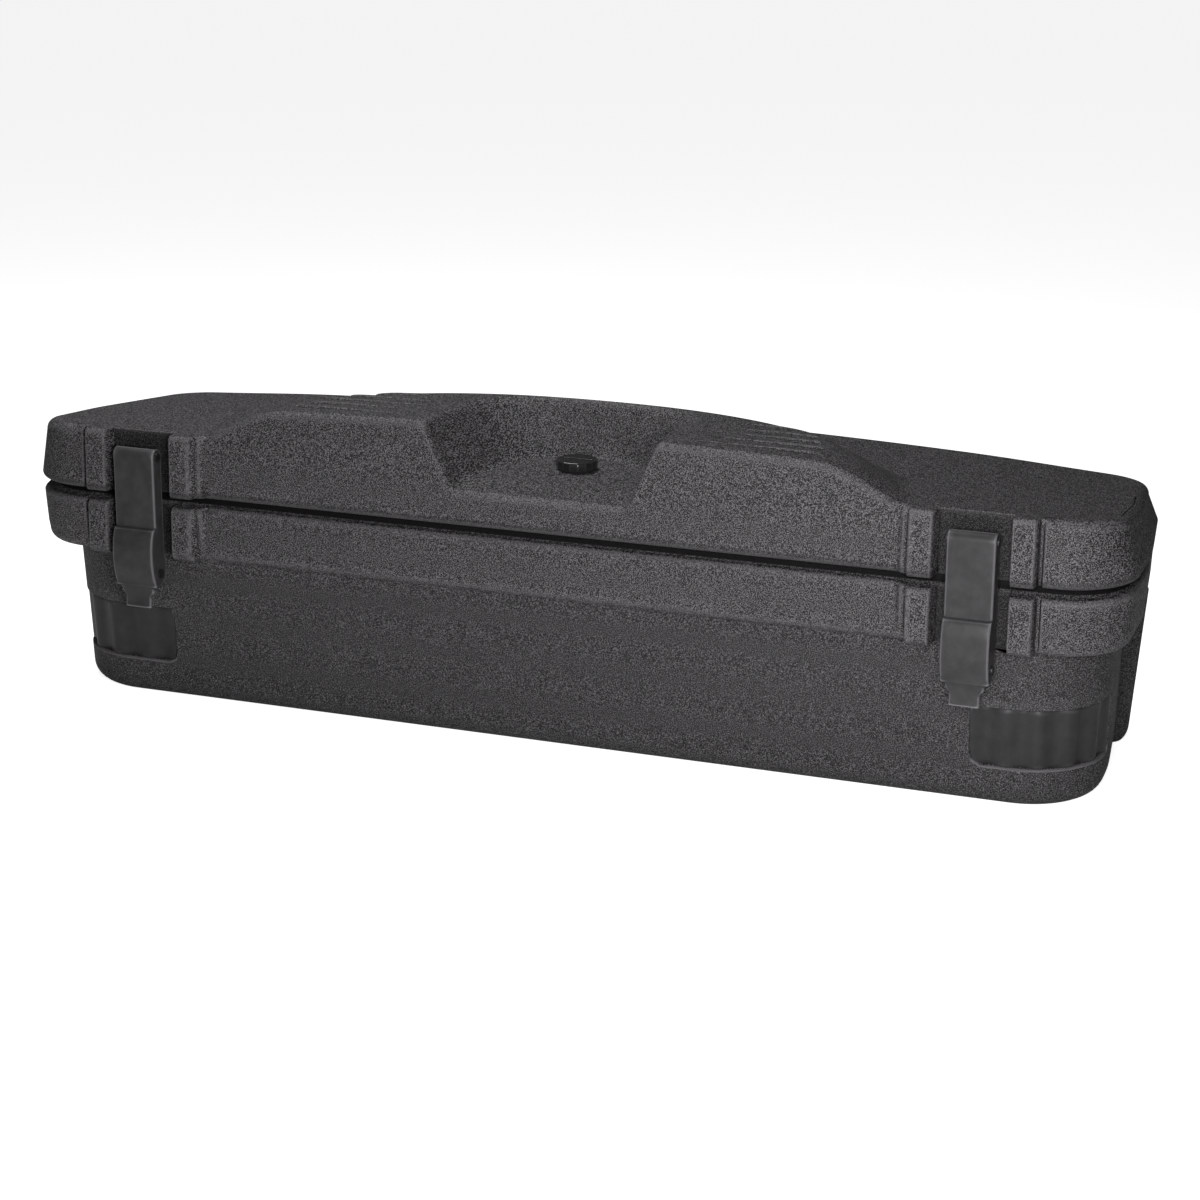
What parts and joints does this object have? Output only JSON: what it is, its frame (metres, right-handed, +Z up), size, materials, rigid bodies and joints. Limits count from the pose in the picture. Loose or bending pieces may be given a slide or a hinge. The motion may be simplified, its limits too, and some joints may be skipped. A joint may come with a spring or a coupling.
{
  "type": "vehicle rack storage box",
  "caption": "Long moulded storage box for a vehicle rack, with a hinged lid, a scooped pocket in the lid, draw latches and fluted corner guards.",
  "frame": {"origin": "on the surface the box stands on, under the middle of its overall length and depth", "axes": "+X along the length, -Y towards the front with the latches, +Z up"},
  "size_m": [0.974, 0.2904, 0.2809],
  "materials": {
    "moulded_polyethylene": "coarse moulded grain, satin matt black",
    "guard_plastic": "smooth satin",
    "latch_plastic": "smooth satin dark grey",
    "seal_rubber": "matt foam rubber",
    "plug_plastic": "glossy black",
    "black_steel": "black zinc, satin"
  },
  "bodies": {
    "base": {"base_shell": "moulded_polyethylene", "base_band": "moulded_polyethylene", "base_band_front": "moulded_polyethylene", "latch_bay_left": "moulded_polyethylene", "latch_bay_right": "moulded_polyethylene", "corner_guard_left": "guard_plastic", "corner_guard_right": "guard_plastic", "latch_keeper_left": "black_steel", "latch_keeper_right": "black_steel", "keeper_screw_left_a": "black_steel", "keeper_screw_left_b": "black_steel", "keeper_screw_right_a": "black_steel", "keeper_screw_right_b": "black_steel", "hinge_base_leaf_1": "black_steel", "hinge_base_leaf_2": "black_steel", "hinge_base_leaf_3": "black_steel", "hinge_pin_1": "black_steel", "hinge_pin_2": "black_steel", "hinge_pin_3": "black_steel", "hinge_base_screw_1a": "black_steel", "hinge_base_screw_1b": "black_steel", "hinge_base_screw_2a": "black_steel", "hinge_base_screw_2b": "black_steel", "hinge_base_screw_3a": "black_steel", "hinge_base_screw_3b": "black_steel"},
    "lid": {"lid_shell": "moulded_polyethylene", "lid_seal": "seal_rubber", "latch_bracket_left": "black_steel", "latch_bracket_right": "black_steel", "bracket_screw_left_a": "black_steel", "bracket_screw_left_b": "black_steel", "bracket_screw_right_a": "black_steel", "bracket_screw_right_b": "black_steel", "plug_nut": "black_steel", "hinge_lid_leaf_1": "black_steel", "hinge_lid_leaf_2": "black_steel", "hinge_lid_leaf_3": "black_steel", "hinge_lid_screw_1a": "black_steel", "hinge_lid_screw_1b": "black_steel", "hinge_lid_screw_2a": "black_steel", "hinge_lid_screw_2b": "black_steel", "hinge_lid_screw_3a": "black_steel", "hinge_lid_screw_3b": "black_steel"},
    "left_latch": {"latch_strap_left": "latch_plastic", "latch_hinge_pin_left": "black_steel", "latch_cross_pin_left": "black_steel", "latch_roller_left": "black_steel"},
    "right_latch": {"latch_strap_right": "latch_plastic", "latch_hinge_pin_right": "black_steel", "latch_cross_pin_right": "black_steel", "latch_roller_right": "black_steel"},
    "plug": {"vent_plug": "plug_plastic", "plug_washer": "seal_rubber"}
  },
  "joints": [
    {"name": "lid_hinge", "type": "hinge", "parent": "base", "child": "lid", "pos_m": [0, 0.14115, 0.18925], "axis": [-1, 0, 0], "range_deg": [0, 100]},
    {"name": "left_latch_swing", "type": "hinge", "parent": "lid", "child": "left_latch", "pos_m": [-0.366, -0.12965, 0.228], "axis": [-1, 0, 0], "range_deg": [0, 120]},
    {"name": "right_latch_swing", "type": "hinge", "parent": "lid", "child": "right_latch", "pos_m": [0.366, -0.12965, 0.228], "axis": [-1, 0, 0], "range_deg": [0, 120]},
    {"name": "plug_turn", "type": "hinge", "parent": "lid", "child": "plug", "pos_m": [0, -0.02615, 0.2255], "axis": [0, 0, 1], "continuous": true}
  ]
}
